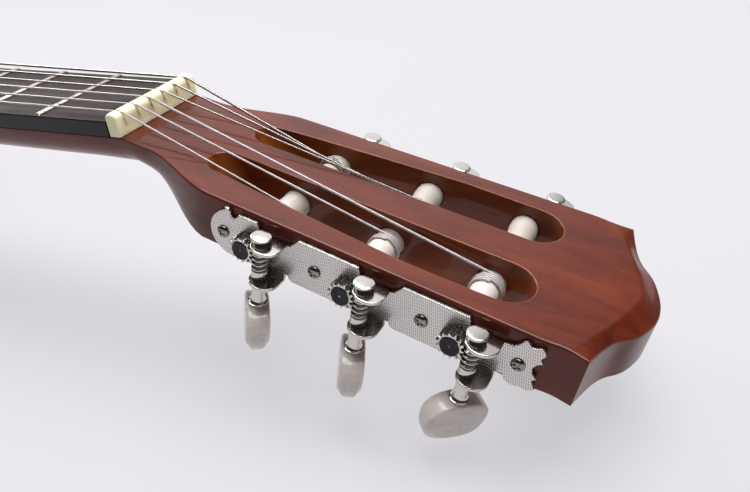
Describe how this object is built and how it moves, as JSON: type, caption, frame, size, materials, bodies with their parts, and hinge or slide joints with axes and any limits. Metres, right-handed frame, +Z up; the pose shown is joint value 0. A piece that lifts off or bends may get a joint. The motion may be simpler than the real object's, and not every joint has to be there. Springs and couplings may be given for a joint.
{
  "type": "classical guitar",
  "caption": "Small classical guitar with a hollow body, fretted neck and slotted headstock carrying worm-geared tuners with oval buttons.",
  "frame": {"origin": "on the back's flat outer face, under the middle of the body's length, on the centre line", "axes": "+X along the neck towards the headstock, +Y to the bass side, +Z up out of the soundboard"},
  "size_m": [0.8831, 0.318, 0.098],
  "materials": {
    "mahogany": "gloss lacquer",
    "spruce": "gloss lacquer",
    "block_wood": "raw",
    "dark_wood": "oiled, black stained edge",
    "cream": "polished",
    "inlay": "lacquered",
    "nickel": "nickel plated",
    "white_plastic": "polished",
    "pearl": "pearlescent",
    "nylon": "clear",
    "wound": "silver wound"
  },
  "bodies": {
    "guitar": {"back_plate": "mahogany", "soundboard": "spruce", "rosette": "inlay", "rib_bass": "mahogany", "rib_treble": "mahogany", "top_lining_bass": "block_wood", "top_lining_treble": "block_wood", "back_lining_bass": "block_wood", "back_lining_treble": "block_wood", "tail_block": "block_wood", "foot_block": "block_wood", "fan_bracing": "block_wood", "upper_harmonic_bar": "block_wood", "back_brace": "block_wood", "neck_shaft": "mahogany", "fingerboard": "dark_wood", "nut": "cream", "bridge": "dark_wood", "saddle": "cream", "headstock": "mahogany", "tuner_plate_bass": "nickel", "tuner_plate_treble": "nickel", "plate_screw_bass_1": "nickel", "plate_screw_bass_2": "nickel", "plate_screw_bass_3": "nickel", "plate_screw_bass_4": "nickel", "plate_screw_treble_1": "nickel", "plate_screw_treble_2": "nickel", "plate_screw_treble_3": "nickel", "plate_screw_treble_4": "nickel", "string_E_low": "wound", "string_A": "wound", "string_D": "wound", "string_G": "nylon", "string_B": "nylon", "string_E_high": "nylon"},
    "button_E_low_worm": {"worm_E_low": "nickel", "button_E_low": "pearl"},
    "roller_E_low_cog": {"string_roller_E_low": "white_plastic", "cog_E_low": "nickel"},
    "button_A_worm": {"worm_A": "nickel", "button_A": "pearl"},
    "roller_A_cog": {"string_roller_A": "white_plastic", "cog_A": "nickel"},
    "button_D_worm": {"worm_D": "nickel", "button_D": "pearl"},
    "roller_D_cog": {"string_roller_D": "white_plastic", "cog_D": "nickel"},
    "button_E_high_worm": {"worm_E_high": "nickel", "button_E_high": "pearl"},
    "roller_E_high_cog": {"string_roller_E_high": "white_plastic", "cog_E_high": "nickel"},
    "button_B_worm": {"worm_B": "nickel", "button_B": "pearl"},
    "roller_B_cog": {"string_roller_B": "white_plastic", "cog_B": "nickel"},
    "button_G_worm": {"worm_G": "nickel", "button_G": "pearl"},
    "roller_G_cog": {"string_roller_G": "white_plastic", "cog_G": "nickel"}
  },
  "joints": [
    {"name": "button_turn_E_low", "type": "hinge", "parent": "guitar", "child": "button_E_low_worm", "pos_m": [0.55961, 0.03709, 0.05781], "axis": [0.2639, 0, 0.9646], "continuous": true},
    {"name": "roller_turn_E_low", "type": "hinge", "parent": "guitar", "child": "roller_E_low_cog", "pos_m": [0.55369, 0.03203, 0.05943], "axis": [-0.0396, 0.9992, 0.0108], "continuous": true},
    {"name": "button_turn_A", "type": "hinge", "parent": "guitar", "child": "button_A_worm", "pos_m": [0.59337, 0.03852, 0.04858], "axis": [0.2639, 0, 0.9646], "continuous": true},
    {"name": "roller_turn_A", "type": "hinge", "parent": "guitar", "child": "roller_A_cog", "pos_m": [0.58745, 0.03347, 0.0502], "axis": [-0.0396, 0.9992, 0.0108], "continuous": true},
    {"name": "button_turn_D", "type": "hinge", "parent": "guitar", "child": "button_D_worm", "pos_m": [0.62713, 0.03996, 0.03934], "axis": [0.2639, 0, 0.9646], "continuous": true},
    {"name": "roller_turn_D", "type": "hinge", "parent": "guitar", "child": "roller_D_cog", "pos_m": [0.62121, 0.0349, 0.04096], "axis": [-0.0396, 0.9992, 0.0108], "continuous": true},
    {"name": "button_turn_E_high", "type": "hinge", "parent": "guitar", "child": "button_E_high_worm", "pos_m": [0.55775, -0.03702, 0.05708], "axis": [0.2639, 0, 0.9646], "continuous": true},
    {"name": "roller_turn_E_high", "type": "hinge", "parent": "guitar", "child": "roller_E_high_cog", "pos_m": [0.55183, -0.03196, 0.0587], "axis": [0.0396, 0.9992, -0.0108], "continuous": true},
    {"name": "button_turn_B", "type": "hinge", "parent": "guitar", "child": "button_B_worm", "pos_m": [0.59151, -0.03846, 0.04784], "axis": [0.2639, 0, 0.9646], "continuous": true},
    {"name": "roller_turn_B", "type": "hinge", "parent": "guitar", "child": "roller_B_cog", "pos_m": [0.58559, -0.0334, 0.04946], "axis": [0.0396, 0.9992, -0.0108], "continuous": true},
    {"name": "button_turn_G", "type": "hinge", "parent": "guitar", "child": "button_G_worm", "pos_m": [0.62527, -0.03989, 0.03861], "axis": [0.2639, 0, 0.9646], "continuous": true},
    {"name": "roller_turn_G", "type": "hinge", "parent": "guitar", "child": "roller_G_cog", "pos_m": [0.61935, -0.03484, 0.04023], "axis": [0.0396, 0.9992, -0.0108], "continuous": true}
  ],
  "couplings": [
    {"joint": "roller_turn_E_low", "follows": "button_turn_E_low", "ratio": 0.071429},
    {"joint": "roller_turn_A", "follows": "button_turn_A", "ratio": 0.071429},
    {"joint": "roller_turn_D", "follows": "button_turn_D", "ratio": 0.071429},
    {"joint": "roller_turn_E_high", "follows": "button_turn_E_high", "ratio": 0.071429},
    {"joint": "roller_turn_B", "follows": "button_turn_B", "ratio": 0.071429},
    {"joint": "roller_turn_G", "follows": "button_turn_G", "ratio": 0.071429}
  ]
}
